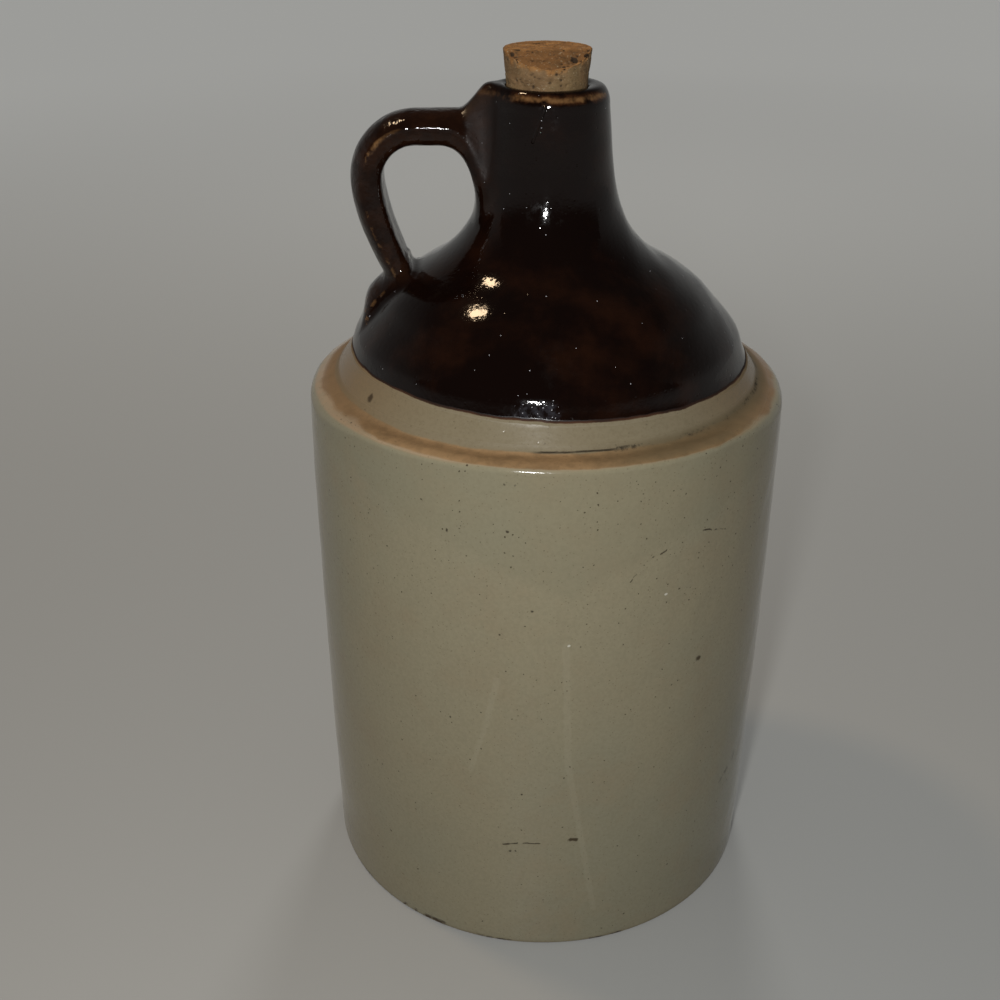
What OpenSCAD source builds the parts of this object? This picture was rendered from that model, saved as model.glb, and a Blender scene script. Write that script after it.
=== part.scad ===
/* [Body] */
// Diameter across the foot
base_d = 204; // [190:1:215]
// Diameter across the rim at the top of the body
rim_d = 208; // [195:1:220]
// How far the side swells beyond a straight line between foot and rim
body_swell = 1; // [0:0.1:3]
// Height of the rim above the foot
body_h = 243; // [200:1:290]
// Thickness of the fired wall
wall = 8; // [6:0.5:10]
// Thickness of the floor
floor_t = 10; // [7:0.5:16]
// Radius of the corner under the foot
foot_round = 1.5; // [0.5:0.1:4]
// Radius of the corner inside, where floor meets wall
floor_round = 14; // [6:1:24]
// Radius of the rounded rim
rim_round = 6; // [3:0.5:9]

/* [Ledge and dome] */
// Diameter of the crease where the ledge meets the dome
crease_d = 184.4; // [176:0.2:190]
// Height of the crease above the rim
crease_rise = 3.4; // [1:0.1:5]
// Angle at which the dome leaves the crease
dome_angle = 55.5; // [48:0.5:64]
// Diameter at which the dome turns from bulging to hollow
turn_d = 103.4; // [94:0.2:114]
// Height of that turn above the crease
turn_rise = 46.6; // [40:0.2:56]
// Slope of the dome at the turn
turn_angle = 29; // [22:1:38]

/* [Neck and mouth] */
// Diameter of the neck where it becomes nearly straight
neck_base_d = 51.6; // [48:0.2:58]
// Height of that place above the turn of the dome
neck_base_rise = 44.2; // [38:0.2:56]
// Diameter of the neck under the rounded mouth
neck_top_d = 47.4; // [46:0.2:50]
// Height of the mouth's crest above the foot of the neck
mouth_rise = 29.6; // [22:0.2:40]
// Height of the rounding outside the mouth
lip_round_h = 8; // [4:0.5:12]
// Width of that rounding
lip_round_w = 4.8; // [3:0.1:5.5]
// Diameter of the bore below the cork's seat
bore_d = 30; // [27:0.2:31]
// Radius of the mouth's inner edge
mouth_round = 2.4; // [1:0.1:3]
// How far the mouth sits off the neck's middle, towards the handle
mouth_shift = 1.8; // [0:0.1:2]

/* [Cork] */
// Diameter of the cork's top
cork_d = 35.6; // [34.4:0.2:37]
// Diameter of the cork's lower end
cork_end_d = 28; // [26:0.2:29]
// Length of the cork
cork_l = 38; // [32:1:46]
// How far the cork stands out of the mouth
cork_proud = 13.4; // [10:0.2:16]
// Space between the cork and its seat
cork_gap = 0.1; // [0.05:0.05:0.2]
// How deep the worn front of the cork's top slopes down
wear_drop = 6; // [2:0.5:8]
// Distance of that slope's upper edge in front of the centre
wear_start = 4; // [0:1:8]

/* [Handle] */
// Reach of the strap's outer face from the jug's axis
handle_reach = 82.2; // [78:0.2:90]
// Depth of the strap's top below the mouth's crest
handle_drop = 10.2; // [7:0.2:14]
// Width of the strap at its ridges
strap_w = 25; // [20:0.5:28]
// Thickness of the strap at its top and bend
strap_t = 13.4; // [11:0.2:16]
// Thickness of the strap above its foot
strap_end_t = 11; // [9:0.5:14]
// Height of the crown between the strap's ridges
crown_h = 5.3; // [3:0.1:6.5]
// Radius of the strap's inner face in the bend
bend_r = 14.4; // [10:0.2:18]
// Height that the root gains below the strap where it meets the neck
root_spread = 19; // [12:0.5:22]
// Width of the root where it meets the neck
root_w = 27; // [24:0.5:32]
// Distance from the axis at which the strap's foot stands on the dome
foot_r = 62; // [57:1:66]
// Angle between the strap's foot and the vertical
foot_lean = 27; // [20:1:34]
// Length of the tail pressed on the dome beyond the foot
tail_l = 26; // [16:1:27]
// Height of the tail over the dome
tail_t = 7; // [5:0.2:9]
// Width of the tail
tail_w = 27; // [22:0.5:30]

/* [Hidden] */

glaze_brown = [0.16, 0.09, 0.06];
glaze_stone = [0.62, 0.58, 0.46];
cork_tan = [0.72, 0.55, 0.38];

round_fn = 96;

crease_r = crease_d / 2;
crease_z = body_h + crease_rise;
turn_r = turn_d / 2;
turn_z = crease_z + turn_rise;
neck_base_r = neck_base_d / 2;
neck_base_z = turn_z + neck_base_rise;
neck_top_r = neck_top_d / 2;
mouth_z = neck_base_z + mouth_rise;
bore_r = bore_d / 2;

// Lengths of the handles of the dome's and neck's curves
dome_pull = 33;
dome_turn_pull = 26;
neck_turn_pull = 18.5;
neck_pull = 22.4;

// The cork's cone, and the seat that follows it at a small distance
cork_top_z = mouth_z + cork_proud;
cork_slope = (cork_d - cork_end_d) / 2 / cork_l;
cork_edge = 1;
function cork_r(z) = cork_d / 2 - cork_slope * (cork_top_z - z);
function seat_r(z) = cork_r(z) + cork_gap;
seat_end_z = cork_top_z - (cork_d / 2 + cork_gap - bore_r) / cork_slope;
crest_r = neck_top_r - lip_round_w;
seat_top_z = mouth_z - mouth_round;

function lerp(a, b, t) = a + (b - a) * t;
function direction(angle) = [-cos(angle), sin(angle)];
function curve(p, t) =
    pow(1 - t, 3) * p[0] + 3 * pow(1 - t, 2) * t * p[1] + 3 * (1 - t) * t * t * p[2] + pow(t, 3) * p[3];
function curve_way(p, t) =
    pow(1 - t, 2) * (p[1] - p[0]) + 2 * (1 - t) * t * (p[2] - p[1]) + t * t * (p[3] - p[2]);
function unit(v) = v / norm(v);
function curve_inside(p, t, depth) =
    let (way = unit(curve_way(p, t))) curve(p, t) - depth * [way[1], -way[0]];

// The side of the body between foot and rim
function side_r(z) =
    lerp(base_d, rim_d, z / body_h) / 2 + body_swell * 4 * (z / body_h) * (1 - z / body_h);

dome_curve = [
    [crease_r, crease_z],
    [crease_r, crease_z] + dome_pull * direction(dome_angle),
    [turn_r, turn_z] - dome_turn_pull * direction(turn_angle),
    [turn_r, turn_z]
];
neck_lean = atan2(mouth_z - lip_round_h - neck_base_z, neck_base_r - neck_top_r);
neck_curve = [
    [turn_r, turn_z],
    [turn_r, turn_z] + neck_turn_pull * direction(turn_angle),
    [neck_base_r, neck_base_z] - neck_pull * direction(neck_lean),
    [neck_base_r, neck_base_z]
];

curve_steps = 18;
side_steps = 10;
arc_step = 15;
rim_z = body_h - rim_round;
rim_centre_r = side_r(rim_z) - rim_round;

// The rim's arc ends where the straight ledge from the crease touches it
rim_steps = 5;
crease_off_rim = [rim_centre_r - crease_r, crease_z - rim_z];
rim_end = 90 + asin(rim_round / norm(crease_off_rim)) - atan2(crease_off_rim[1], crease_off_rim[0]);

outer_side = [for (i = [0 : side_steps])
    let (z = lerp(foot_round, rim_z, i / side_steps)) [side_r(z), z]];
outer_foot = [for (a = [0 : arc_step : 90 - arc_step])
    [side_r(foot_round) - foot_round + foot_round * sin(a), foot_round - foot_round * cos(a)]];
outer_rim = [for (i = [1 : rim_steps])
    let (a = rim_end * i / rim_steps) [rim_centre_r + rim_round * cos(a), rim_z + rim_round * sin(a)]];
outer_dome = [for (i = [0 : curve_steps]) curve(dome_curve, i / curve_steps)];
outer_neck = [for (i = [1 : curve_steps]) curve(neck_curve, i / curve_steps)];
outer_lip = [for (a = [0 : arc_step : 90])
    [crest_r + lip_round_w * cos(a), mouth_z - lip_round_h + lip_round_h * sin(a)]];

outer_outline = concat(
    [[0, 0]], outer_foot, outer_side, outer_rim, outer_dome, outer_neck, outer_lip,
    [[0, mouth_z]]);

// The hollow follows the outside at the wall's thickness, up to the foot of the neck
inner_neck = [for (i = [curve_steps : -1 : 1]) curve_inside(neck_curve, i / curve_steps, wall)];
inner_dome = [for (i = [curve_steps : -1 : 0]) curve_inside(dome_curve, i / curve_steps, wall)];
inner_side_z = rim_z - wall;
inner_side = [for (i = [side_steps : -1 : 0])
    let (z = lerp(floor_t + floor_round, inner_side_z, i / side_steps)) [side_r(z) - wall, z]];
floor_centre_r = side_r(floor_t + floor_round) - wall - floor_round;
inner_floor = [for (a = [arc_step : arc_step : 90])
    [floor_centre_r + floor_round * cos(a), floor_t + floor_round - floor_round * sin(a)]];
hollow_top_z = inner_neck[0][1];
hollow_outline = concat(
    [[0, hollow_top_z]], inner_neck, inner_dome, inner_side, inner_floor, [[0, floor_t]]);

// The bore, the cork's seat above it and the mouth's rounded inner edge
bore_overlap = 1;
mouth_edge = [for (a = [0 : arc_step : 90])
    [seat_r(seat_top_z) + mouth_round * (1 - cos(a)), seat_top_z + mouth_round * sin(a)]];
mouth_edge_r = seat_r(seat_top_z) + mouth_round;
bore_outline = concat(
    [[0, hollow_top_z - bore_overlap], [bore_r, hollow_top_z - bore_overlap], [bore_r, seat_end_z]],
    mouth_edge, [[mouth_edge_r, mouth_z + bore_overlap], [0, mouth_z + bore_overlap]]);

// Height of the dome's surface at a distance from the axis, and the way straight out of it
dome_table = [for (i = [len(outer_dome) - 1 : -1 : 0]) [outer_dome[i][0], outer_dome[i][1]]];
function dome_z(r) = lookup(r, dome_table);
function dome_out(r) = unit([dome_z(r - 1) - dome_z(r + 1), 2]);

// A ring of the strap: from p_in on its inner face to p_out on its crown, both [distance, height]
ring_corner = 2;
ring_corner_step = 30;
crown_power = 2.4;
function ring_shape(half_w, half_in, ridge, t) = let (corner_x = half_in - ring_corner) concat(
    [for (a = [-90 : ring_corner_step : 0])
        [corner_x + ring_corner * cos(a), ring_corner * (1 + sin(a))]],
    [for (a = [0 : arc_step : 180])
        [half_w * cos(a), lerp(t, ridge, pow(abs(cos(a)), crown_power))]],
    [for (a = [180 : ring_corner_step : 270])
        [-corner_x + ring_corner * cos(a), ring_corner * (1 + sin(a))]]);
function ring(p_out, p_in, half_w, half_in, ridge) =
    let (rise = unit(p_out - p_in), shape = ring_shape(half_w, half_in, ridge, norm(p_out - p_in)))
    [for (q = shape) [-(p_in[0] + rise[0] * q[1]), q[0], p_in[1] + rise[1] * q[1]]];

half_strap = strap_w / 2;
inner_step = 1.5;
half_inner = half_strap - inner_step;
ridge_h = strap_t - crown_h;
strap_top_z = mouth_z - handle_drop;
bend_x = handle_reach - strap_t - bend_r;
bend_z = strap_top_z - strap_t - bend_r;

// Root: the strap spreads to the mouth's crest above and down the neck below
root_rings = 14;
root_in_mouth = 0.2;
root_start_r = bore_r;
root_slope_start = neck_top_r + 0.6;
root_slope_l = 13.5;
root_arch_end = neck_base_r + 21;
root_arch_l = 17;
root_arch_limit = 1.15;
root_half_w = root_w / 2;
root_half_in = 9;
root_ridge_share = 0.2;
root_calm_start = neck_top_r - 2;
root_change = 1.6;
function smooth(t) = let (u = min(max(t, 0), 1)) u * u * (3 - 2 * u);
function root_top(x) =
    strap_top_z + (handle_drop - root_in_mouth) * (1 - smooth((x - root_slope_start) / root_slope_l));
function root_arch(x) = min(max(0, (root_arch_end - x) / root_arch_l), root_arch_limit);
function root_low(x) = strap_top_z - strap_t - root_spread * pow(root_arch(x), 3);
root = [for (i = [0 : root_rings - 1])
    let (
        x = lerp(root_start_r, bend_x, i / root_rings),
        p_out = [x, root_top(x)],
        p_in = [x, root_low(x)],
        calm = smooth(root_change * (x - root_calm_start) / (bend_x - root_calm_start)),
        share = lerp(root_ridge_share, ridge_h / strap_t, calm)
    )
    ring(p_out, p_in, lerp(root_half_w, half_strap, calm), lerp(root_half_in, half_inner, calm),
        share * norm(p_out - p_in))];

// Bend: a quarter turn outwards and down
bend_rings = 10;
bend = [for (i = [0 : bend_rings - 1])
    let (a = 90 - 90 * i / bend_rings, way = [cos(a), sin(a)], centre = [bend_x, bend_z])
    ring(centre + (bend_r + strap_t) * way, centre + bend_r * way, half_strap, half_inner, ridge_h)];

// Fall: one long curve down to the dome, growing thinner, and a little way into it
fall_rings = 16;
fall_pull = 14;
foot_sink = 3;
fall_start = [bend_x + bend_r + strap_t / 2, bend_z];
foot_point = [foot_r, dome_z(foot_r)] - foot_sink * [sin(foot_lean), cos(foot_lean)];
fall_curve = [
    fall_start,
    fall_start - [0, fall_pull],
    foot_point + fall_pull * [sin(foot_lean), cos(foot_lean)],
    foot_point
];
fall = [for (i = [0 : fall_rings])
    let (
        t = i / fall_rings,
        middle = curve(fall_curve, t),
        way = unit(curve_way(fall_curve, t)),
        out = [-way[1], way[0]],
        thick = lerp(strap_t, strap_end_t, t * t)
    )
    ring(middle + out * thick / 2, middle - out * thick / 2, half_strap, half_inner, thick - crown_h)];

// Tail: the end of the strap pressed outwards on the dome, blunt at its end
tail_rings = 14;
tail_sink = 3.5;
tail_blunt_start = 0.86;
tail_least_rise = 0.14;
tail_end_narrowing = 0.25;
tail_ridge_share = 0.45;
tail_under_foot = 2;
tail_corner = 1;
dome_way_out = dome_out(foot_r + tail_l / 3);
function tail_rise(u) =
    u < tail_blunt_start ? 1
    : sqrt(max(pow(tail_least_rise, 2), 1 - pow((u - tail_blunt_start) / (1 - tail_blunt_start), 2)));
tail_start_r = foot_r - tail_under_foot;
tail_end_r = foot_r + tail_l * dome_way_out[1];
tail = [for (i = [0 : tail_rings])
    let (
        u = i / tail_rings,
        r = lerp(tail_start_r, tail_end_r, u),
        rise = tail_rise(u),
        skin = [r, dome_z(r)],
        out = dome_out(r),
        half = tail_w / 2 * (1 - tail_end_narrowing * (1 - rise))
    )
    ring(skin + tail_t * rise * out, skin - tail_sink * out, half, half - tail_corner,
        tail_sink + tail_t * tail_ridge_share * rise)];

module loft(rings) {
    count = len(rings[0]);
    last = len(rings) - 1;
    points = [for (one = rings) for (p = one) p];
    sides = [for (i = [0 : last - 1]) for (k = [0 : count - 1])
        let (a = i * count + k, b = i * count + (k + 1) % count, c = a + count, d = b + count)
        for (face = [[a, b, c], [b, d, c]]) face];
    start_cap = [for (k = [count - 1 : -1 : 0]) k];
    end_cap = [for (k = [0 : count - 1]) last * count + k];
    polyhedron(points = points, faces = concat(sides, [start_cap], [end_cap]), convexity = 4);
}

module turned(outline) {
    rotate_extrude($fn = round_fn) polygon(outline);
}

module body() {
    color(glaze_stone) turned(outer_outline);
}

module hollow() {
    turned(hollow_outline);
    translate([-mouth_shift, 0, 0]) turned(bore_outline);
}

module strap_handle() {
    color(glaze_brown) loft(concat(root, bend, fall));
}

module handle_tail() {
    color(glaze_brown) loft(tail);
}

module stoneware_jug() {
    difference() {
        union() {
            body();
            strap_handle();
            handle_tail();
        }
        color(glaze_brown) hollow();
    }
}

module cork_stopper() {
    wear_angle = atan2(wear_drop, cork_d / 2 - wear_start);
    color(cork_tan)
    translate([-mouth_shift, 0, 0])
    difference() {
        translate([0, 0, cork_top_z - cork_l])
            turned([
                [0, 0],
                [cork_end_d / 2 - cork_edge, 0],
                [cork_r(cork_top_z - cork_l + cork_edge), cork_edge],
                [cork_r(cork_top_z - cork_edge), cork_l - cork_edge],
                [cork_d / 2 - cork_edge, cork_l],
                [0, cork_l]
            ]);
        translate([-cork_d, -wear_start, cork_top_z])
            rotate([wear_angle, 0, 0])
                translate([0, -cork_d, 0])
                    cube([2 * cork_d, cork_d, cork_l]);
    }
}

stoneware_jug();
cork_stopper();
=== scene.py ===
"""Looks of the two-tone stoneware jug with its cork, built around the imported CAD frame."""
import math
from functools import reduce

import bpy
import numpy as np
from mathutils import Euler, Matrix, Vector


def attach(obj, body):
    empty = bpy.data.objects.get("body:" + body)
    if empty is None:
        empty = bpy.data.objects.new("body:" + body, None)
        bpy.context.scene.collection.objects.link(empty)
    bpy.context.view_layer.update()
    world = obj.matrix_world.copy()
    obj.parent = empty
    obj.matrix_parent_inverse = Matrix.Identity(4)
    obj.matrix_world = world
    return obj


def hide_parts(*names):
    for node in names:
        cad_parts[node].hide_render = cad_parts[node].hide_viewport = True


MM = 0.001

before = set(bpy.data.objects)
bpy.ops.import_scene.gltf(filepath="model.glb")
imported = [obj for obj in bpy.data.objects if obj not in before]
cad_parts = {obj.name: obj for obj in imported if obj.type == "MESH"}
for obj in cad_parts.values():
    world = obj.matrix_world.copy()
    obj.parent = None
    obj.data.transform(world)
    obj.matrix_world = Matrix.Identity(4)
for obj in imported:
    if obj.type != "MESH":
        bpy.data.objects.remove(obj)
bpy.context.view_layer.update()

# Camera, solved from the ellipses of the jug
CAMERA_AT = (-0.02016, -0.53842, 0.46111)
CAMERA_DOWN = 0.4843
CAMERA_ROLL = 0.0027
CAMERA_LENS = 46.85

# Sizes of the jug in millimetres, as in the CAD source
BASE_R, RIM_R, BODY_SWELL, BODY_H = 102.0, 104.0, 1.0, 243.0
WALL, FLOOR_T, FOOT_ROUND, FLOOR_ROUND, RIM_ROUND = 8.0, 10.0, 1.5, 14.0, 6.0
CREASE_R, CREASE_Z, DOME_ANGLE = 92.2, 246.4, 55.5
TURN_R, TURN_Z, TURN_ANGLE = 51.7, 293.0, 29.0
NECK_BASE_R, NECK_BASE_Z, NECK_TOP_R = 25.8, 337.2, 23.7
MOUTH_Z, LIP_H, LIP_W = 366.8, 8.0, 4.8
BORE_R, MOUTH_ROUND, MOUTH_SHIFT = 15.0, 2.4, 1.8
DOME_PULL, DOME_TURN_PULL, NECK_TURN_PULL, NECK_PULL = 33.0, 26.0, 18.5, 22.4
CORK_R, CORK_END_R, CORK_L, CORK_PROUD, CORK_GAP = 17.8, 14.0, 38.0, 13.4, 0.1
WEAR_DROP, WEAR_START = 6.0, 4.0
HANDLE_REACH, HANDLE_DROP = 82.2, 10.2
STRAP_HALF, STRAP_T, STRAP_END_T, CROWN_H, BEND_R = 12.5, 13.4, 11.0, 5.3, 14.4
ROOT_SPREAD, ROOT_HALF = 19.0, 13.5
FOOT_R, FOOT_LEAN, TAIL_L, TAIL_T, TAIL_HALF = 62.0, 27.0, 26.0, 7.0, 13.5

CORK_TOP_Z = MOUTH_Z + CORK_PROUD
CORK_SLOPE = (CORK_R - CORK_END_R) / CORK_L
LIP_R = NECK_TOP_R - LIP_W
# The dome is a little fuller just above the glaze line
SHOULDER_FULL, SHOULDER_START_Z, SHOULDER_RISE, SHOULDER_TOP_Z, SHOULDER_FADE = 1.8, 254.6, 11, 263.8, 14
# At the front the rim's edge is tighter and a little higher
RIM_TIGHT, RIM_LIFT = 3.2, 2.4
SEAT_TOP_Z = MOUTH_Z - MOUTH_ROUND


def lerp(a, b, t):
    return a + (b - a) * t


def smooth(t):
    t = np.clip(t, 0, 1)
    return t * t * (3 - 2 * t)


def smooth_min(a, b, k):
    h = np.maximum(k - np.abs(a - b), 0) / k
    return np.minimum(a, b) - h * h * k / 4


def smooth_max(a, b, k):
    return -smooth_min(-a, -b, k)


def waves(p, length, seed, count=7):
    """A smooth random field of about -1 to 1 over points p, from a few plane waves."""
    rng = np.random.default_rng(seed)
    total = np.zeros(len(p))
    for _ in range(count):
        way = rng.normal(size=3)
        way *= (2 * math.pi / length) * rng.uniform(0.6, 1.5) / np.linalg.norm(way)
        total += np.sin(p @ way + rng.uniform(0, 2 * math.pi))
    return total / math.sqrt(count)


# Outline of the turned jug

def side_r(z):
    t = z / BODY_H
    return lerp(BASE_R, RIM_R, t) + BODY_SWELL * 4 * t * (1 - t)


def direction(angle):
    a = math.radians(angle)
    return np.array([-math.cos(a), math.sin(a)])


def bezier(p, t):
    t = np.asarray(t)[:, None]
    u = 1 - t
    return u ** 3 * p[0] + 3 * u ** 2 * t * p[1] + 3 * u * t * t * p[2] + t ** 3 * p[3]


def arc(centre, radius_r, radius_z, start, end, count):
    a = np.radians(np.linspace(start, end, count))
    return np.c_[centre[0] + radius_r * np.cos(a), centre[1] + radius_z * np.sin(a)]


crease = np.array([CREASE_R, CREASE_Z])
turn = np.array([TURN_R, TURN_Z])
neck_base = np.array([NECK_BASE_R, NECK_BASE_Z])
neck_lean = math.degrees(math.atan2(MOUTH_Z - LIP_H - NECK_BASE_Z, NECK_BASE_R - NECK_TOP_R))
dome_curve = [crease, crease + DOME_PULL * direction(DOME_ANGLE),
              turn - DOME_TURN_PULL * direction(TURN_ANGLE), turn]
neck_curve = [turn, turn + NECK_TURN_PULL * direction(TURN_ANGLE),
              neck_base - NECK_PULL * direction(neck_lean), neck_base]
dome_line = bezier(dome_curve, np.linspace(0, 1, 90))
neck_line = bezier(neck_curve, np.linspace(0, 1, 80))
lip_line = arc((LIP_R, MOUTH_Z - LIP_H), LIP_W, LIP_H, 0, 90, 24)
upper_line = np.vstack([dome_line, neck_line[1:], lip_line])


def line_distance(r, z, line):
    """Distance in the half plane from (r, z) to a line of points."""
    best = np.full(len(r), 1e9)
    for (r0, z0), (r1, z1) in zip(line[:-1], line[1:]):
        dr, dz = r1 - r0, z1 - z0
        t = np.clip(((r - r0) * dr + (z - z0) * dz) / (dr * dr + dz * dz), 0, 1)
        np.minimum(best, (r - r0 - t * dr) ** 2 + (z - z0 - t * dz) ** 2, out=best)
    return np.sqrt(best)


closed_line = np.vstack([[CREASE_R + 30, CREASE_Z - 53], upper_line, [0, MOUTH_Z]])


def body_field(r, z):
    """Signed distance to the dome, neck and lip, negative in the clay."""
    outline_r = np.interp(z, closed_line[:-1, 1], closed_line[:-1, 0], right=0)
    inside = (r < outline_r) & (z < MOUTH_Z)
    fade = 1 - smooth((z - SHOULDER_TOP_Z) / SHOULDER_FADE)
    shoulder = SHOULDER_FULL * smooth((z - SHOULDER_START_Z) / SHOULDER_RISE) * fade * (r > 40)
    return np.where(inside, -1, 1) * line_distance(r, z, closed_line) - shoulder


def seat_r(z):
    return CORK_R - CORK_SLOPE * (CORK_TOP_Z - z) + CORK_GAP


# The net ends at the seat's cut, and the mouth's field reaches a little below it
SEAT_CUT_Z = 353.4
VOID_Z = SEAT_CUT_Z - 2
mouth_arc = arc((seat_r(SEAT_TOP_Z) + MOUTH_ROUND, SEAT_TOP_Z), -MOUTH_ROUND, MOUTH_ROUND, 0, 90, 14)
mouth_line = np.vstack([[0, VOID_Z], [seat_r(VOID_Z), VOID_Z], mouth_arc, [60, MOUTH_Z]])


def mouth_field(r, z):
    """Signed distance to the empty mouth, negative in the air."""
    void_r = np.interp(z, mouth_line[1:-1, 1], mouth_line[1:-1, 0])
    inside = ((r < void_r) | (z > MOUTH_Z)) & (z > VOID_Z)
    return np.where(inside, -1, 1) * line_distance(r, z, mouth_line)


# The strap handle as a field

# A distance that stands for "nowhere near"
FAR = 60.0
strap_top_z = MOUTH_Z - HANDLE_DROP
bend_x = HANDLE_REACH - STRAP_T - BEND_R
bend_z = strap_top_z - STRAP_T - BEND_R
ridge_h = STRAP_T - CROWN_H
inner_half = STRAP_HALF - 1.5


def dome_z(r):
    return np.interp(r, dome_line[::-1, 0], dome_line[::-1, 1])


def root_top(x):
    return strap_top_z + (HANDLE_DROP - 0.2) * (1 - smooth((x - NECK_TOP_R - 0.6) / 13.5))


def root_low(x):
    return strap_top_z - STRAP_T - ROOT_SPREAD * np.clip((NECK_BASE_R + 21 - x) / 17, 0, 1.15) ** 3


lean = math.radians(FOOT_LEAN)
foot_way = np.array([math.sin(lean), math.cos(lean)])
foot_point = np.array([FOOT_R, float(dome_z(FOOT_R))]) - 3 * foot_way
fall_start = np.array([bend_x + BEND_R + STRAP_T / 2, bend_z])
fall_curve = [fall_start, fall_start - [0, 14], foot_point + 14 * foot_way, foot_point]
fall_line = bezier(fall_curve, np.linspace(0, 1, 160))
fall_way = np.gradient(fall_line, axis=0)
fall_way /= np.linalg.norm(fall_way, axis=1)[:, None]
fall_thick = lerp(STRAP_T, STRAP_END_T, np.linspace(0, 1, 160) ** 2)
TAIL_START_R = FOOT_R - 2
dome_slope = (float(dome_z(FOOT_R + TAIL_L / 3 - 1)) - float(dome_z(FOOT_R + TAIL_L / 3 + 1))) / 2
TAIL_END_R = FOOT_R + TAIL_L / math.hypot(1, dome_slope)


def strap_section(v, y, thick, half, inner, ridge, steep_top=0.0, steep_low=0.0):
    """Signed distance, about, to the strap's D section, and nearness to its ridges."""
    side = np.minimum(np.abs(y) / half, 1.6)
    crown = thick - ridge
    top_v = thick - crown * side ** 2.4
    slope = crown * 2.4 / half * side ** 1.4
    d_top = (v - top_v) / np.sqrt(1 + slope ** 2 + steep_top ** 2)
    d_low = -v / np.sqrt(1 + steep_low ** 2)
    d_side = ((np.abs(y) - inner) * ridge - v * (half - inner)) / np.hypot(ridge, half - inner)
    ridge_gap = np.hypot(np.abs(y) - half, v - ridge)
    return smooth_max(smooth_max(d_top, d_side, 1.8), d_low, 4.0), ridge_gap


def handle_field(p):
    """Signed distance to the strap and nearness to its ridges; the handle points along -X."""
    x, y, z = -p[:, 0], p[:, 1], p[:, 2]
    field = np.full(len(p), FAR)
    gap = np.full(len(p), FAR)
    fall = (z < bend_z) & (x > 48)
    bend = (z >= bend_z) & (x >= bend_x)
    root = ~(fall | bend)
    if root.any():
        xr = x[root]
        top, low = root_top(xr), root_low(xr)
        calm_start = NECK_TOP_R - 2
        calm = smooth(1.6 * (xr - calm_start) / (bend_x - calm_start))
        thick = top - low
        steep_top = root_top(xr + 0.5) - root_top(xr - 0.5)
        steep_low = root_low(xr + 0.5) - root_low(xr - 0.5)
        ridge = thick * lerp(0.2, ridge_h / STRAP_T, calm)
        half, inner = lerp(ROOT_HALF, STRAP_HALF, calm), lerp(9, inner_half, calm)
        f, g = strap_section(z[root] - low, y[root], thick, half, inner, ridge, steep_top, steep_low)
        field[root] = np.maximum(f, 8 - xr)
        gap[root] = g
    if bend.any():
        v = np.hypot(x[bend] - bend_x, z[bend] - bend_z) - BEND_R
        field[bend], gap[bend] = strap_section(v, y[bend], STRAP_T, STRAP_HALF, inner_half, ridge_h)
    if fall.any():
        q = np.c_[x[fall], z[fall]]
        near = np.empty(len(q), int)
        for i in range(0, len(q), 20000):
            d = ((q[i:i + 20000, None, :] - fall_line[None, :, :]) ** 2).sum(2)
            near[i:i + 20000] = d.argmin(1)
        off = q - fall_line[near]
        way = fall_way[near]
        thick = fall_thick[near]
        v = off[:, 0] * -way[:, 1] + off[:, 1] * way[:, 0] + thick / 2
        past = off[:, 0] * way[:, 0] + off[:, 1] * way[:, 1]
        f, g = strap_section(v, y[fall], thick, STRAP_HALF, inner_half, thick - CROWN_H)
        field[fall] = np.where(near == len(fall_line) - 1, np.maximum(f, past), f)
        gap[fall] = g
    return field, gap


def tail_field(p, skin):
    """Signed distance, about, to the strap's end on the dome; skin is the height over the dome."""
    r = np.hypot(p[:, 0], p[:, 1])
    y = p[:, 1]
    share = np.clip((r - TAIL_START_R) / (TAIL_END_R - TAIL_START_R), 0, 1)
    wobble = 0.5 * np.sin(0.35 * p[:, 2] + 1.3) + 0.4 * np.sin(0.21 * y - 0.6)
    half = TAIL_HALF - 1.2 * share ** 3 + wobble * 0.6
    side = np.minimum(np.abs(y) / half, 1.5)
    top = TAIL_T * (0.45 + 0.55 * (1 - side ** 2.4)) * (1 - 0.1 * share)
    top = top - 0.5 * np.exp(-((share - 0.55) / 0.2) ** 2)
    d_top = skin - top
    d_side = np.abs(y) - half
    d_end = r - TAIL_END_R - 0.4 * wobble
    f = smooth_max(smooth_max(d_top, d_side, 2.6), d_end, 3.2)
    f = np.maximum(f, TAIL_START_R - r)
    f = np.where(p[:, 0] > 0, FAR, f)
    side_gap = np.hypot(np.abs(y) - half + 0.6, skin - TAIL_T * 0.45)
    return f, np.minimum(side_gap, np.hypot(d_end + 1.0, skin - top + 1.0))


def clay_field(p):
    """The whole upper jug, negative in the clay, and how near a ridge each point is."""
    r = np.hypot(p[:, 0], p[:, 1])
    skin = body_field(r, p[:, 2])
    near = (p[:, 0] < -6) & (np.abs(p[:, 1]) < 30)
    field = skin.copy()
    gap = np.full(len(p), FAR)
    if near.any():
        q = p[near]
        strap, strap_gap = handle_field(q)
        tail, tail_gap = tail_field(q, skin[near])
        # Soft fillets: wide at the neck, narrower on the dome
        blend = np.where(q[:, 2] > 300, 8.0, 4.5)
        field[near] = smooth_min(skin[near], smooth_min(strap, tail, 2.5), blend)
        gap[near] = np.minimum(strap_gap, np.where(tail < 8, tail_gap, FAR))
    mouth = mouth_field(np.hypot(p[:, 0] + MOUTH_SHIFT, p[:, 1]), p[:, 2])
    return smooth_max(field, -mouth, 1.2), gap


# Turning a field into a mesh

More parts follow.
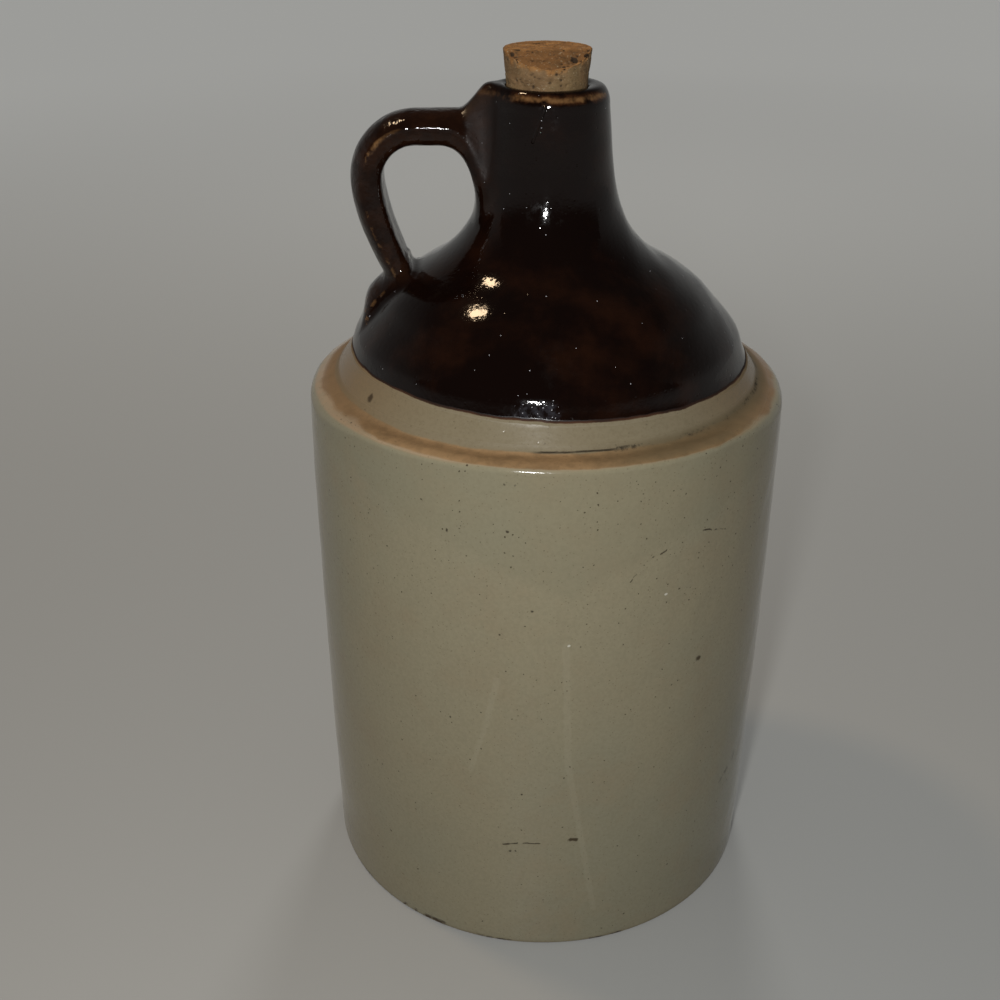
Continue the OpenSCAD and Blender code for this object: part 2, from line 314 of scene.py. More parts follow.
def surface_net(field, low, step):
    """Vertices, quads and layer numbers of the field's zero surface on a regular grid."""
    inside = field < 0
    n = np.array(field.shape)
    count = np.zeros(n - 1, int)
    for i, j, k in np.ndindex(2, 2, 2):
        count += inside[i:n[0] - 1 + i, j:n[1] - 1 + j, k:n[2] - 1 + k]
    cells = np.argwhere((count > 0) & (count < 8))
    index = np.full(n - 1, -1)
    index[tuple(cells.T)] = np.arange(len(cells))
    total = np.zeros((len(cells), 3))
    hits = np.zeros(len(cells))
    for axis in range(3):
        b, c = (axis + 1) % 3, (axis + 2) % 3
        for ob, oc in np.ndindex(2, 2):
            start = cells.copy()
            start[:, b] += ob
            start[:, c] += oc
            end = start.copy()
            end[:, axis] += 1
            v0, v1 = field[tuple(start.T)], field[tuple(end.T)]
            cross = (v0 < 0) != (v1 < 0)
            t = np.where(cross, v0 / np.where(cross, v0 - v1, 1), 0)
            point = start.astype(float)
            point[:, axis] += t
            total[cross] += point[cross]
            hits[cross] += 1
    vertices = low + step * total / hits[:, None]
    quads = []
    for axis in range(3):
        b, c = (axis + 1) % 3, (axis + 2) % 3
        first, second = [slice(None)] * 3, [slice(None)] * 3
        first[axis], second[axis] = slice(0, -1), slice(1, None)
        edge = np.argwhere(inside[tuple(first)] != inside[tuple(second)])
        across = edge[:, [b, c]]
        edge = edge[((across > 0) & (across < n[[b, c]] - 1)).all(1)]
        ring = []
        for ob, oc in ((1, 1), (0, 1), (0, 0), (1, 0)):
            cell = edge.copy()
            cell[:, b] -= ob
            cell[:, c] -= oc
            ring.append(index[tuple(cell.T)])
        quad = np.stack(ring, 1)
        outward = inside[tuple(edge.T)]
        quad[~outward] = quad[~outward][:, ::-1]
        quads.append(quad)
    return vertices, np.vstack(quads), cells[:, 2]


def pull_to_surface(p, rounds):
    """Moves points onto the clay's surface along its gradient."""
    reach = 0.15
    for _ in range(rounds):
        f = clay_field(p)[0]
        slope = np.empty_like(p)
        for axis in range(3):
            shift = np.zeros(3)
            shift[axis] = reach
            slope[:, axis] = (clay_field(p + shift)[0] - clay_field(p - shift)[0]) / (2 * reach)
        size = np.maximum((slope ** 2).sum(1), 0.2)
        p = p - np.clip(f / size, -1.5, 1.5)[:, None] * slope
    return p


def relax(p, quads, fixed):
    """One step towards the mean of each point's neighbours."""
    total = np.zeros_like(p)
    count = np.zeros(len(p))
    for a, b in ((0, 1), (1, 2), (2, 3), (3, 0)):
        for s, e in ((a, b), (b, a)):
            np.add.at(total, quads[:, s], p[quads[:, e]])
            np.add.at(count, quads[:, s], 1)
    mean = total / np.maximum(count, 1)[:, None]
    return np.where(fixed[:, None], p, lerp(p, mean, 0.5))


def open_loops(faces):
    """Closed loops of the edges that have one face, each as a list of vertex numbers."""
    edges = {(face[i], face[(i + 1) % len(face)]) for face in faces for i in range(len(face))}
    following = {}
    for a, b in edges:
        if (b, a) not in edges:
            following.setdefault(a, []).append(b)
    loops = []
    while following:
        start = here = next(iter(following))
        loop = []
        while not loop or here != start:
            loop.append(here)
            after = following[here].pop()
            if not following[here]:
                del following[here]
            here = after
        loops.append(loop)
    return loops


def strip(points, lower, upper, outward):
    """Triangles between two rings of vertex numbers that both go round the Z axis."""
    def ordered(ring):
        angle = np.arctan2(points[ring, 1], points[ring, 0])
        order = np.argsort(angle)
        return [ring[i] for i in order], angle[order]
    a, angle_a = ordered(np.array(lower))
    b, angle_b = ordered(np.array(upper))
    faces = []
    i = j = 0
    while i < len(a) or j < len(b):
        next_a = angle_a[(i + 1) % len(a)] + (2 * math.pi if i + 1 >= len(a) else 0)
        next_b = angle_b[(j + 1) % len(b)] + (2 * math.pi if j + 1 >= len(b) else 0)
        if j >= len(b) or (i < len(a) and next_a <= next_b):
            faces.append((a[i % len(a)], a[(i + 1) % len(a)], b[j % len(b)]))
            i += 1
        else:
            faces.append((a[i % len(a)], b[(j + 1) % len(b)], b[j % len(b)]))
            j += 1
    return faces if outward else [f[::-1] for f in faces]


def turned_grid(line, segments, first, shift=None):
    """Points and quads of a line turned round the Z axis; shift moves each row along X."""
    a = np.linspace(0, 2 * math.pi, segments, endpoint=False)
    shift = np.zeros(len(line)) if shift is None else shift
    points = np.array([[r * math.cos(t) + s, r * math.sin(t), z]
                       for (r, z), s in zip(line, shift) for t in a])
    quads = []
    for row in range(len(line) - 1):
        base = first + row * segments
        for i in range(segments):
            k = (i + 1) % segments
            quads.append((base + i, base + k, base + segments + k, base + segments + i))
    return points, quads


def new_mesh(name, points, faces):
    mesh = bpy.data.meshes.new(name)
    mesh.from_pydata(points.tolist(), [], [tuple(int(v) for v in f) for f in faces])
    return mesh


def make_object(name, points, faces):
    mesh = new_mesh(name, points * MM, faces)
    mesh.validate()
    mesh.update()
    mesh.shade_smooth()
    obj = bpy.data.objects.new(name, mesh)
    bpy.context.scene.collection.objects.link(obj)
    return obj


def add_attribute(obj, name, values):
    attribute = obj.data.attributes.new(name, "FLOAT", "POINT")
    attribute.data.foreach_set("value", np.asarray(values, np.float32))


# The jug: a turned lower part, a netted upper part with the handle, and the turned inside
STEP, TABLE_STEP = 1.3, 0.5
NET_HALF, NET_TOP_Z, CUT_Z = 97.5, 371.0, 251.0
SEGMENTS, INNER_SEGMENTS = 288, 96


def lower_line(rim_round):
    """The outline from the middle of the foot to the cut above the crease."""
    under = [(r, 0.0) for r in (25, 50, 75, 92)]
    foot = arc((side_r(FOOT_ROUND) - FOOT_ROUND, FOOT_ROUND), FOOT_ROUND, FOOT_ROUND, -90, 0, 7)
    rim_z = BODY_H - rim_round
    side = [(side_r(z) - 0.25 * smooth((z - 225) / 12), z)
            for z in np.linspace(FOOT_ROUND, rim_z, 66)[1:]]
    centre = np.array([side[-1][0] - rim_round, rim_z])
    to_crease = np.array([centre[0] - CREASE_R, CREASE_Z - centre[1]])
    down = math.atan2(to_crease[1], to_crease[0])
    rim_end = 90 + math.degrees(math.asin(rim_round / np.hypot(*to_crease)) - down)
    rim = arc(centre, rim_round, rim_round, 0, rim_end, 14)[1:]
    touch = rim[-1]
    up = dome_line[dome_line[:, 1] < CUT_Z + 6]
    rise = [(np.interp(z, up[:, 1], up[:, 0]), z)
            for z in np.arange(CREASE_Z + 2, CUT_Z - 0.5, 0.85)]
    # The ledge, then a soft bend through the crease
    soft = [lerp(touch, crease, t) for t in np.linspace(0.12, 0.8, 6)]
    low_p, high_p = lerp(touch, crease, 0.8), np.array(rise[0])
    soft += [(1 - t) ** 2 * low_p + 2 * t * (1 - t) * crease + t * t * high_p
             for t in np.linspace(0.15, 0.85, 5)]
    return np.vstack([under, foot, side, rim, soft, rise])


def inner_line():
    """The inside from the seat down to the middle of the floor."""
    def inside(curve):
        way = np.gradient(curve, axis=0)
        way /= np.linalg.norm(way, axis=1)[:, None]
        return curve - WALL * np.c_[way[:, 1], -way[:, 0]]
    seat = [(seat_r(z), z) for z in (SEAT_CUT_Z - 1.2, 351.6)]
    bore = [(BORE_R, z) for z in (350.5, 344, 338)]
    neck = inside(neck_line)[::-1][2::4]
    dome = inside(dome_line)[::-1][2::4]
    low_z = FLOOR_T + FLOOR_ROUND
    side = [(side_r(z) - WALL, z) for z in np.linspace(BODY_H - RIM_ROUND - WALL, low_z, 20)]
    floor_r = side_r(low_z) - WALL - FLOOR_ROUND
    corner = arc((floor_r, low_z), FLOOR_ROUND, -FLOOR_ROUND, 0, 90, 7)[1:]
    line = np.vstack([seat, bore, neck, dome, side, corner, [(60, FLOOR_T), (30, FLOOR_T)]])
    keep = [0]
    for i in range(1, len(line)):
        if line[i, 1] < line[keep[-1], 1] - 0.3 or line[keep[-1], 1] <= FLOOR_T + 0.5:
            keep.append(i)
    return line[keep]


def build_jug():
    low = np.array([-NET_HALF, -NET_HALF, CUT_Z - 2 * STEP])
    size = np.ceil(np.array([2 * NET_HALF, 2 * NET_HALF, NET_TOP_Z - low[2]]) / STEP).astype(int) + 1
    axes = [low[i] + STEP * np.arange(size[i]) for i in range(3)]
    gx, gy, gz = np.meshgrid(*axes, indexing="ij")
    r = np.hypot(gx, gy)
    # A coarse table of the turned body, so that only points near the surface need the whole field
    table_r = np.arange(0, 140, TABLE_STEP)
    table_z = np.arange(low[2] - 1, 374, TABLE_STEP)
    tr, tz = np.meshgrid(table_r, table_z, indexing="ij")
    table = body_field(tr.ravel(), tz.ravel()).reshape(tr.shape)
    fr, fz = r / TABLE_STEP, (gz - table_z[0]) / TABLE_STEP
    ir, iz = fr.astype(int), fz.astype(int)
    ur, uz = fr - ir, fz - iz
    coarse = (table[ir, iz] * (1 - ur) * (1 - uz) + table[ir + 1, iz] * ur * (1 - uz)
              + table[ir, iz + 1] * (1 - ur) * uz + table[ir + 1, iz + 1] * ur * uz)
    field = coarse.copy()
    by_handle = (gx < -10) & (np.abs(gy) < 19) & (coarse > -3) & (coarse < 62)
    near = (np.abs(coarse) < 2 * STEP) | by_handle | ((r < 24) & (gz > SEAT_CUT_Z - 5))
    points = np.c_[gx[near], gy[near], gz[near]]
    field[near] = clay_field(points)[0]
    vertices, quads, layer = surface_net(field, low, STEP)
    # Below the cut, and inside the mouth's blind end, the net gives way to the turned grids
    seat_layer = int((SEAT_CUT_Z - low[2]) / STEP)
    inner = (np.hypot(vertices[:, 0] + MOUTH_SHIFT, vertices[:, 1]) < 17.2) & (layer < seat_layer)
    drop = (layer < 2) | inner
    quads = quads[~drop[quads].any(1)]
    used = np.unique(quads)
    remap = np.full(len(vertices), -1)
    remap[used] = np.arange(len(used))
    vertices, quads = vertices[used], remap[quads]
    seat_loop, rim_loop = sorted(open_loops(quads.tolist()), key=len)[-2:]
    # The net's two open edges become circles, which stay as they are
    fixed = np.zeros(len(vertices), bool)
    cut_r = float(np.interp(CUT_Z, dome_line[:, 1], dome_line[:, 0]))
    for loop, edge_r, shift, z in ((rim_loop, cut_r, 0.0, CUT_Z),
                                   (seat_loop, seat_r(SEAT_CUT_Z), MOUTH_SHIFT, SEAT_CUT_Z)):
        a = np.arctan2(vertices[loop, 1], vertices[loop, 0] + shift)
        vertices[loop] = np.c_[edge_r * np.cos(a) - shift, edge_r * np.sin(a), np.full(len(a), z)]
        fixed[loop] = True
    kept = vertices[fixed].copy()
    for _ in range(3):
        vertices = relax(pull_to_surface(vertices, 1), quads, fixed)
        vertices[fixed] = kept
    vertices = pull_to_surface(vertices, 2)
    vertices[fixed] = kept
    gap = clay_field(vertices)[1]

    line = lower_line(RIM_ROUND)
    below, below_quads = turned_grid(line, SEGMENTS, len(vertices))
    tight, _quads = turned_grid(lower_line(RIM_TIGHT), SEGMENTS, 0)
    off_crease = smooth((np.hypot(tight[:, 0], tight[:, 1]) - 93) / 8)
    tight[:, 2] += RIM_LIFT * off_crease * smooth((tight[:, 2] - 226) / 14)
    below = lerp(below, tight, smooth((-below[:, 1] - 30) / 50)[:, None])
    foot_ring = list(range(len(vertices), len(vertices) + SEGMENTS))
    top_ring = [i + (len(line) - 1) * SEGMENTS for i in foot_ring]
    points = np.vstack([vertices, below])
    faces = [tuple(q) for q in quads.tolist()] + below_quads
    faces += strip(points, top_ring, rim_loop, True)
    centre = len(points)
    points = np.vstack([points, [[0, 0, 0]]])
    faces += [(foot_ring[(i + 1) % SEGMENTS], foot_ring[i], centre) for i in range(SEGMENTS)]
    inside = inner_line()
    shift = np.where(inside[:, 1] > 337.5, -MOUTH_SHIFT, 0.0)
    above, above_quads = turned_grid(inside, INNER_SEGMENTS, len(points), shift)
    seat_ring = list(range(len(points), len(points) + INNER_SEGMENTS))
    last = [i + (len(inside) - 1) * INNER_SEGMENTS for i in seat_ring]
    points = np.vstack([points, above])
    # The inner grid goes downwards, so its quads already face the hollow
    faces += above_quads
    faces += strip(points, seat_ring, seat_loop, False)
    centre = len(points)
    points = np.vstack([points, [[0, 0, FLOOR_T]]])
    faces += [(last[i], last[(i + 1) % INNER_SEGMENTS], centre) for i in range(INNER_SEGMENTS)]
    gaps = np.full(len(points), FAR)
    gaps[:len(gap)] = gap
    on_strap = np.zeros(len(points))
    skin = body_field(np.hypot(vertices[:, 0], vertices[:, 1]), vertices[:, 2])
    on_strap[:len(gap)] = smooth(skin / 5) * (vertices[:, 0] < -20)
    return points, faces, gaps, on_strap


def uneven(points, faces):
    """Moves the outside in and out a little, as thrown and dipped clay is."""
    mesh = new_mesh("uneven", points, faces)
    normals = np.zeros(len(points) * 3)
    mesh.vertices.foreach_get("normal", normals)
    bpy.data.meshes.remove(mesh)
    normals = normals.reshape(-1, 3)
    z = points[:, 2]
    from_mouth = np.hypot(points[:, 0] + MOUTH_SHIFT, points[:, 1])
    # The foot, the seat and the inside stay as they are
    share = smooth(z / 6) * smooth((from_mouth - 20.5) / 2) * (normals[:, 2] > -0.95)
    wall_r = np.interp(z, [0, 243, 247, 293, 340, 367], [97, 99, 87, 46, 20, 19])
    faces_axis = (normals[:, :2] * points[:, :2]).sum(1) < 0
    inside = (np.hypot(points[:, 0], points[:, 1]) < wall_r) & (points[:, 0] > -60) & faces_axis & (z < 351)
    share = np.where(inside & (from_mouth < 92), 0, share)
    move = 0.07 * waves(points, 19, 41, 12) + 0.13 * waves(points * [1, 1, 0.6], 52, 42)
    on_rim = np.exp(-((z - 242) / 2.5) ** 2)
    move = move + on_rim * 0.05 * waves(points, 7, 43, 12)
    return points + normals * (share * move)[:, None]


points, faces, gaps, on_strap = build_jug()
points = uneven(points, faces)
jug = make_object("jug_glazed", points, faces)
add_attribute(jug, "ridge", np.exp(-(gaps / 1.3) ** 2))
add_attribute(jug, "strap", on_strap)
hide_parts("stoneware_jug")
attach(jug, "root")


# Materials

class Nodes:
    """Adds and links the nodes of one tree. Values are numbers, tuples or sockets."""

    def __init__(self, tree):
        self.tree = tree

    def put(self, value, socket):
        """Links a socket to an input, or sets the input to a number or tuple."""
        if isinstance(value, bpy.types.NodeSocket):
            self.tree.links.new(value, socket)
        else:
            socket.default_value = value

    def add(self, kind, **settings):
        """A new node. A setting that starts with in_ is the input of that name."""
        new = self.tree.nodes.new("ShaderNode" + kind)
        for key, value in settings.items():
            if key.startswith("in_"):
                self.put(value, new.inputs[key[3:].replace("_", " ")])
            else:
                setattr(new, key, value)
        return new

    def noise(self, where, scale, detail=4.0, rough=0.55):
        return self.add("TexNoise", in_Vector=where, in_Scale=scale, in_Detail=detail,
                        in_Roughness=rough).outputs["Fac"]

    def cells(self, where, scale):
        """The distance to the nearest of many random points, and its three random numbers."""
        new = self.add("TexVoronoi", in_Vector=where, in_Scale=scale, in_Randomness=1.0)
        return new.outputs["Distance"], self.add("SeparateColor", in_Color=new.outputs["Color"]).outputs

    def attribute(self, name):
        return self.add("Attribute", attribute_name=name).outputs["Fac"]

    def math(self, operation, *values, clamp=False):
        new = self.add("Math", operation=operation, use_clamp=clamp)
        for value, socket in zip(values, new.inputs):
            self.put(value, socket)
        return new.outputs[0]

    def times(self, a, b):
        return self.math("MULTIPLY", a, b)

    def madd(self, a, b, c):
        """a times b, plus c."""
        return self.math("MULTIPLY_ADD", a, b, c)

    def stack(self, base, *parts):
        """The base plus every part, each a value and the amount that it counts."""
        for value, amount in parts:
            base = self.madd(value, amount, base)
        return base

    def gap(self, a, b):
        """How far apart two values are."""
        return self.math("ABSOLUTE", self.math("SUBTRACT", a, b))

    def largest(self, *values):
        return reduce(lambda a, b: self.math("MAXIMUM", a, b), values)

    def step(self, value, low, high, out_low=0.0, out_high=1.0):
        """A smooth step from out_low, where the value is low, to out_high, where it is high."""
        return self.add("MapRange", interpolation_type="SMOOTHSTEP", in_Value=value,
                        in_From_Min=low, in_From_Max=high, in_To_Min=out_low,
                        in_To_Max=out_high).outputs["Result"]

    def mix(self, factor, a, b):
        """Colour a where the factor is 0, and b where it is 1."""
        new = self.add("Mix", data_type="RGBA")
        colours = [socket for socket in new.inputs if socket.type == "RGBA"]
        for value, socket in zip((factor, a, b), (new.inputs[0], *colours)):
            self.put((*value, 1.0) if isinstance(value, tuple) else value, socket)
        return next(socket for socket in new.outputs if socket.type == "RGBA")

    def paint(self, base, *coats):
        """The base colour under its coats, each a factor and a colour, the last one on top."""
        for factor, colour in coats:
            base = self.mix(factor, base, colour)
        return base

    def vector(self, operation, *values, out="Vector"):
        new = self.add("VectorMath", operation=operation)
        for value, socket in zip(values, new.inputs):
            self.put(value, socket)
        return new.outputs[out]

    def radii_off(self, where, a, b, radius):
        """How many radii a place is away from the line from a to b, both in millimetres."""
        start = np.array(a) * MM
        way = np.array(b) * MM - start
        nearest = tuple(start)
        if way @ way > 0:
            scaled = way / (way @ way)
            along = self.vector("DOT_PRODUCT", where, tuple(scaled), out="Value")
            along = self.math("ADD", along, -start @ scaled, clamp=True)
            nearest = self.vector("MULTIPLY_ADD", along, tuple(way), nearest)
        distance = self.vector("DISTANCE", where, nearest, out="Value")
        return self.math("DIVIDE", distance, radius * MM)

    def marks(self, where, rows):
        """1 on the marks of the rows and 0 beyond them."""
        off = [self.radii_off(where, *row) for row in rows]
        return self.step(reduce(lambda a, b: self.math("MINIMUM", a, b), off), 1.3, 0.55)


def material(name):
    """A new material, its nodes and the inputs of its shader."""
    m = bpy.data.materials.new(name)
    m.use_nodes = True
    return m, Nodes(m.node_tree), m.node_tree.nodes["Principled BSDF"].inputs


# Colours of the beige glaze, the ledge, the dark glaze and what lies on them
STONE = (0.240, 0.212, 0.138)
STONE_GREEN = (0.222, 0.206, 0.140)
STONE_WARM = (0.232, 0.192, 0.122)
STONE_MOTTLE = (0.165, 0.146, 0.094)
# Painted reflection: a greyer tone for the upper part of the beige glaze
PAINTED_REFLECTION_GREY = (0.178, 0.164, 0.106)
RUN_PALE = (0.330, 0.305, 0.220)
LEDGE_TAN = (0.270, 0.165, 0.078)
LEDGE_BROWN = (0.172, 0.104, 0.048)
RIM_PINK = (0.300, 0.212, 0.130)
WALL_CREAM = (0.182, 0.153, 0.098)
WALL_BROWN = (0.178, 0.118, 0.058)
WALL_MOTTLE = (0.130, 0.105, 0.062)
OLIVE_SHADE = (0.105, 0.080, 0.042)
DIRT = (0.026, 0.019, 0.011)
DUST = (0.085, 0.062, 0.034)
IRON_SPECK = (0.034, 0.022, 0.012)
CRACK = (0.030, 0.020, 0.011)
IRON_SPOT = (0.036, 0.022, 0.009)
PALE_DOT = (0.60, 0.58, 0.50)
FOOT_TAN = (0.150, 0.112, 0.064)
CHIP = (0.050, 0.032, 0.017)
BARE_CLAY = (0.300, 0.235, 0.150)
BROWN = (0.0036, 0.0014, 0.0009)
BROWN_RED = (0.0130, 0.0044, 0.0020)
STRAP_RED = (0.0165, 0.0060, 0.0026)
BREAK_TAN = (0.170, 0.088, 0.034)
EDGE_RUST = (0.052, 0.019, 0.007)
# Painted sheen and painted glints for the scuff on the dark glaze
PAINTED_SHEEN = (0.085, 0.088, 0.105)
PAINTED_GLINT = (0.50, 0.50, 0.53)

# Heights in metres of the lines on the jug; a pair is where a change begins and where it is full
GLAZE_LINE, CREASE_LINE, DIRT_LINE, RING_LINE = 0.2564, 0.2462, 0.2468, 0.3638
RIM_START, LEDGE_START, WALL_START = (0.2412, 0.2422), (0.2418, 0.2430), (0.2460, 0.2474)

# Marks on the glaze, in millimetres: both ends of a line, and its radius
DARK_MARKS = [
    ((60.8, -84.6, 209.1), (65.5, -81.4, 207.4), 0.42), ((65.5, -81.4, 207.4), (71.5, -76.0, 204.9), 0.36),
    ((31.2, -99.5, 193.6), (33.6, -98.7, 196.8), 0.32), ((38.0, -97.0, 201.8), (41.0, -96.0, 203.6), 0.30),
    ((43.0, -95.0, 203.6), (46.5, -93.4, 205.6), 0.30), ((52.6, -87.9, 240.8), (55.2, -86.2, 241.5), 0.36),
    ((82.0, -62.8, 62.8), (86.6, -56.5, 66.2), 0.42), ((89.3, -51.9, 67.0), (90.6, -49.6, 70.4), 0.42),
    ((-18.4, -101.6, 60.2), (-12.0, -102.4, 61.6), 0.42), ((-9.4, -102.7, 61.9), (-2.2, -103.3, 61.9), 0.42)]
DARK_DOTS = [
    (-15.3, -102.0, 56.4, 0.55), (-12.7, -102.4, 56.8, 0.5), (-17.4, -102.7, 218.0, 0.75),
    (-18.7, -102.3, 238.0, 0.62), (-14.5, -102.9, 238.0, 0.5), (-40.6, -95.8, 124.9, 0.6),
    (-7.4, -104.0, 182.6, 0.6), (-40.7, -95.9, 215.0, 0.6)]
DARK_MARKS += [(dot[:3], dot[:3], dot[3]) for dot in DARK_DOTS]
BROWN_SPOTS = [
    ((-73.2, -50.6, 250.9), (-73.2, -50.6, 251.7), 1.6), ((10.9, -102.7, 63.5), (13.4, -102.4, 63.3), 1.1),
    ((63.7, -82.4, 146.0), (63.7, -82.4, 146.0), 1.5)]
BASE_CHIPS = [
    ((-64.0, -79.0, 1.4), (-46.3, -90.9, 1.2), 1.7), ((-30.0, -97.5, 1.0), (-12.0, -101.3, 0.8), 0.8),
    ((22.0, -99.6, 0.8), (36.0, -95.4, 0.9), 0.7), ((-88.0, -51.0, 1.0), (-80.0, -63.0, 0.9), 0.8)]
PALE_DOTS = [
    ((46.6, -93.2, 184.4), (46.6, -93.2, 184.4), 0.6), ((7.6, -103.8, 166.5), (7.6, -103.8, 166.5), 0.6)]
RUNS = [
    ((-21.2, -102.0, 148.4), (-26.0, -100.6, 124.0), 1.5),
    ((-26.0, -100.6, 124.0), (-32.3, -98.6, 99.5), 1.2),
    ((6.5, -104.0, 166.0), (9.0, -103.5, 105.0), 1.6), ((9.0, -103.5, 105.0), (22.7, -99.9, 21.0), 1.5)]
MOUTH_RUN = [
    ((-3.2, -23.3, 361.2), (-5.6, -23.4, 354.5), 0.7), ((-5.6, -23.4, 354.5), (-7.7, -23.5, 348.2), 0.6)]
# A scuffed patch below the shoulder's turn: bumped, with painted glints and a painted sheen on it
SCUFF_AND_GLINT_PATCH = [((-12.0, -85.8, 261.0), (-1.0, -86.5, 261.0), 4.5)]
DULL_JOINT = [((-27, -8, 334), (-28, -8, 358), 7.5)]


def glaze_material():
    m, n, shader = material("two_glazes")
    where = n.add("TexCoord").outputs["Object"]
    x, y, z = n.add("SeparateXYZ", in_Vector=where).outputs
    # Places bent a little, so that marks and specks aren't round
    warp = n.add("TexNoise", in_Vector=where, in_Scale=420.0, in_Detail=3.0)
    shift = n.vector("SUBTRACT", warp.outputs["Color"], (0.5, 0.5, 0.5))
    bent = n.vector("MULTIPLY_ADD", shift, (0.0016, 0.0016, 0.0016), where)

    # The line between the glazes: tilted, with slow waves and small scallops
    slow = n.madd(n.noise(where, 9, 1.0), 0.0030, -0.0015)
    fine = n.madd(n.noise(where, 90, 3.0), 0.0014, -0.0007)
    line = n.math("ADD", n.madd(x, -0.026, GLAZE_LINE), n.math("ADD", slow, fine))
    over = n.math("SUBTRACT", z, line)
    is_brown = n.step(over, -0.0002, 0.0002)

    # Beige glaze: slow drifts of colour, cloudy patches, a fine mottle, and painted reflection: the upper
    # part painted greyer down to a shallow V at the front, so that the part below it reads as lit by a
    # reflection
    cloudy = n.noise(where, 34, 5.0, 0.65)
    mottle = n.noise(where, 620, 3.0, 0.7)
    reflection_v_edge = n.madd(n.math("ABSOLUTE", n.math("ADD", x, -0.008)), 0.42, 0.168)
    reflection_v_edge = n.stack(reflection_v_edge, (n.noise(where, 28, 2.0), 0.010), (n.noise(where, 75, 4.0, 0.7), 0.012))
    painted_reflection_v = n.step(n.math("SUBTRACT", z, reflection_v_edge), 0.008, 0.015)
    stone = n.paint(
        STONE, (n.step(n.noise(where, 8, 3.0), 0.40, 0.62), STONE_GREEN),
        (n.step(cloudy, 0.45, 0.72, 0, 0.65), STONE_WARM),
        (n.step(mottle, 0.35, 0.70, 0, 0.30), STONE_MOTTLE),
        (n.times(painted_reflection_v, 0.26), PAINTED_REFLECTION_GREY), (n.times(n.marks(bent, RUNS), 0.15), RUN_PALE))

    # Heights over the rim: the front is lifted as the mesh is, and the lift ends at the crease
    ragged = n.madd(n.noise(where, 40, 5.0, 0.65), 0.0034, -0.0017)
    lifted = n.madd(n.step(y, -0.030, -0.080), -RIM_LIFT * MM, z)
    lifted = n.largest(lifted, n.math("SUBTRACT", n.times(z, 2.2), 0.29552))
    ledge_z = n.math("ADD", lifted, ragged)
    rim_z = n.madd(ragged, 0.35, lifted)
    # Tan ledge: brown next to the crease, paler and pinkish over the rim, darker at the back
    away = n.step(y, -0.085, -0.030)
    left = n.step(x, -0.020, -0.058)
    tan = n.paint(
        LEDGE_TAN, (n.step(n.noise(where, 130, 6.0, 0.7), 0.35, 0.68), LEDGE_BROWN),
        (n.times(away, 0.70), LEDGE_BROWN))
    pale = n.step(n.noise(where, 85, 4.0, 0.7), 0.30, 0.62, 0.45, 1)
    pale = n.times(n.madd(left, 0.70, 0.30), pale)
    on_rim = n.times(n.step(rim_z, *RIM_START), n.times(pale, 0.85))
    on_ledge = n.step(n.madd(left, -0.0011, ledge_z), *LEDGE_START)
    # Wall below the dark glaze, browner towards the left and the back
    wall = n.paint(
        WALL_CREAM, (n.times(away, 0.85), WALL_BROWN), (n.step(mottle, 0.42, 0.70, 0, 0.35), WALL_MOTTLE))
    # Crease: shaded at the right, with specks of dirt there and a thin line at the front
    crease_gap = n.gap(z, CREASE_LINE)
    shade = n.times(n.step(crease_gap, 0.0032, 0.0004), n.madd(n.step(x, 0.000, 0.045), 0.62, 0.16))
    dirt_gap = n.gap(z, n.madd(ragged, 0.35, DIRT_LINE))
    dirty = n.times(n.step(n.noise(where, 90, 6.0, 0.8), 0.50, 0.62), n.step(x, -0.006, 0.016))
    front = n.times(n.step(x, -0.010, -0.003), n.step(x, 0.029, 0.021))
    front = n.times(front, n.step(y, -0.060, -0.080))
    thin_line = n.times(n.step(dirt_gap, 0.00040, 0.00015), front)
    thin_line = n.times(thin_line, n.step(cloudy, 0.40, 0.55, 0.3, 1))
    crease_dirt = n.largest(n.times(n.step(dirt_gap, 0.0009, 0.0003), dirty), thin_line)
    ledge = n.paint(
        tan, (n.step(ledge_z, *WALL_START), wall), (shade, OLIVE_SHADE), (n.times(crease_dirt, 0.92), DIRT))

    # Iron specks: a few large ones, most of them below the rim, and many faint fine ones
    near, random = n.cells(bent, 400.0)
    chosen = n.math("GREATER_THAN", random[0], n.step(z, 0.150, 0.225, 0.86, 0.55))
    size = n.madd(random[1], 0.09, 0.07)
    speck = n.times(n.step(n.math("SUBTRACT", near, size), 0.05, -0.05), chosen)
    near, random = n.cells(where, 680.0)
    dust = n.times(n.step(near, 0.24, 0.12), n.math("GREATER_THAN", random[0], 0.62))
    dark = n.marks(bent, DARK_MARKS)
    foot = n.step(n.math("ADD", z, ragged), 0.0030, 0.0006)
    chipped = n.step(n.noise(where, 240, 3.0), 0.40, 0.56)
    chips = n.times(n.marks(bent, BASE_CHIPS), chipped)
    bare = n.step(z, 0.0005, 0.0001)
    stone = n.paint(
        stone, (on_rim, RIM_PINK), (on_ledge, ledge), (n.times(dust, 0.38), DUST),
        (n.times(speck, n.madd(on_ledge, -0.50, 0.85)), IRON_SPECK), (n.times(dark, 0.90), CRACK),
        (n.times(n.marks(bent, BROWN_SPOTS), 0.90), IRON_SPOT),
        (n.times(n.marks(bent, PALE_DOTS), 0.70), PALE_DOT),
        (n.times(foot, 0.45), FOOT_TAN), (chips, CHIP), (bare, BARE_CLAY))

